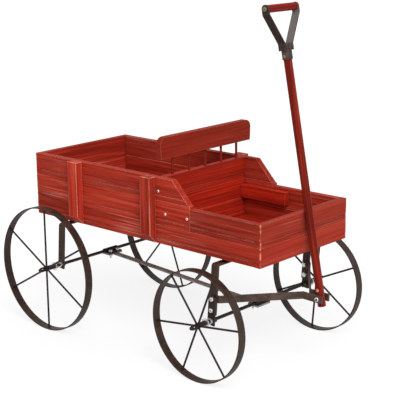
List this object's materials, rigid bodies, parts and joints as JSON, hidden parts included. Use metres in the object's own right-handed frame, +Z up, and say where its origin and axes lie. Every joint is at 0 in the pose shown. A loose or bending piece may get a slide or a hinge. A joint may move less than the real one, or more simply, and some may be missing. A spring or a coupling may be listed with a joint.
{
  "type": "flower cart stand",
  "caption": "Small garden wagon that displays potted plants: a stepped wooden planter box on spoked steel wheels, with a rail on spindles and a hinged pull handle.",
  "frame": {"origin": "on the ground, under the middle of the overall length and width", "axes": "+X towards the handle end, +Y towards the cart's left side, +Z up"},
  "size_m": [0.6368, 0.3604, 0.6137],
  "materials": {
    "box_wood": "red stain, worn edges, satin",
    "batten_wood": "red stain, worn edges, satin",
    "rail_wood": "red stain, satin",
    "hanger_steel": "dark bronze paint, worn",
    "beam_steel": "dark grey paint, speckled",
    "axle_steel": "dark bronze paint",
    "arm_steel": "dark bronze paint",
    "zinc": "zinc plated",
    "rim_steel": "dark bronze paint, worn",
    "spoke_steel": "dark bronze paint",
    "handle_wood": "red stain, satin",
    "grip_steel": "dark bronze paint, worn",
    "grip_fasteners": "dulled zinc"
  },
  "bodies": {
    "cart": {"left_bottom_board": "box_wood", "left_middle_board": "box_wood", "left_top_board": "box_wood", "left_low_board": "box_wood", "right_bottom_board": "box_wood", "right_middle_board": "box_wood", "right_top_board": "box_wood", "right_low_board": "box_wood", "tail_bottom_board": "box_wood", "tail_middle_board": "box_wood", "tail_top_board": "box_wood", "front_bottom_board": "box_wood", "front_top_board": "box_wood", "partition_bottom_board": "box_wood", "partition_middle_board": "box_wood", "partition_top_board": "box_wood", "splice_cleats": "box_wood", "floor_slats": "box_wood", "cross_cleats": "box_wood", "rear_left_batten": "batten_wood", "rear_right_batten": "batten_wood", "front_left_batten": "batten_wood", "front_right_batten": "batten_wood", "rail": "rail_wood", "spindles": "rail_wood", "rear_left_hanger": "hanger_steel", "rear_right_hanger": "hanger_steel", "front_left_hanger": "hanger_steel", "front_right_hanger": "hanger_steel", "left_axle_plate": "hanger_steel", "right_axle_plate": "hanger_steel", "reach_beam": "beam_steel", "rear_saddle": "beam_steel", "front_saddle": "beam_steel", "rear_axle": "axle_steel", "front_axle": "axle_steel", "left_drawbar_arm": "arm_steel", "right_drawbar_arm": "arm_steel", "plate_bolts": "zinc", "clamp_bolts": "zinc", "axle_nuts": "zinc", "hub_washers": "zinc", "split_pins": "zinc", "pivot_bolt": "zinc"},
    "rear_left_wheel": {"rear_left_rim": "rim_steel", "rear_left_hub_and_spokes": "spoke_steel"},
    "rear_right_wheel": {"rear_right_rim": "rim_steel", "rear_right_hub_and_spokes": "spoke_steel"},
    "front_left_wheel": {"front_left_rim": "rim_steel", "front_left_hub_and_spokes": "spoke_steel"},
    "front_right_wheel": {"front_right_rim": "rim_steel", "front_right_hub_and_spokes": "spoke_steel"},
    "handle": {"handle_pole": "handle_wood", "grip": "handle_wood", "grip_socket": "grip_steel", "left_grip_strap": "grip_steel", "right_grip_strap": "grip_steel", "grip_bolt": "grip_fasteners"}
  },
  "joints": [
    {"name": "rear_left_wheel_spin", "type": "hinge", "parent": "cart", "child": "rear_left_wheel", "pos_m": [-0.2013, 0.163, 0.117], "axis": [0, 1, 0], "continuous": true},
    {"name": "rear_right_wheel_spin", "type": "hinge", "parent": "cart", "child": "rear_right_wheel", "pos_m": [-0.2013, -0.163, 0.117], "axis": [0, 1, 0], "continuous": true},
    {"name": "front_left_wheel_spin", "type": "hinge", "parent": "cart", "child": "front_left_wheel", "pos_m": [0.1787, 0.163, 0.0965], "axis": [0, 1, 0], "continuous": true},
    {"name": "front_right_wheel_spin", "type": "hinge", "parent": "cart", "child": "front_right_wheel", "pos_m": [0.1787, -0.163, 0.0965], "axis": [0, 1, 0], "continuous": true},
    {"name": "handle_swing", "type": "hinge", "parent": "cart", "child": "handle", "pos_m": [0.3083, 0, 0.132], "axis": [0, 1, 0], "range_deg": [0, 112]}
  ]
}
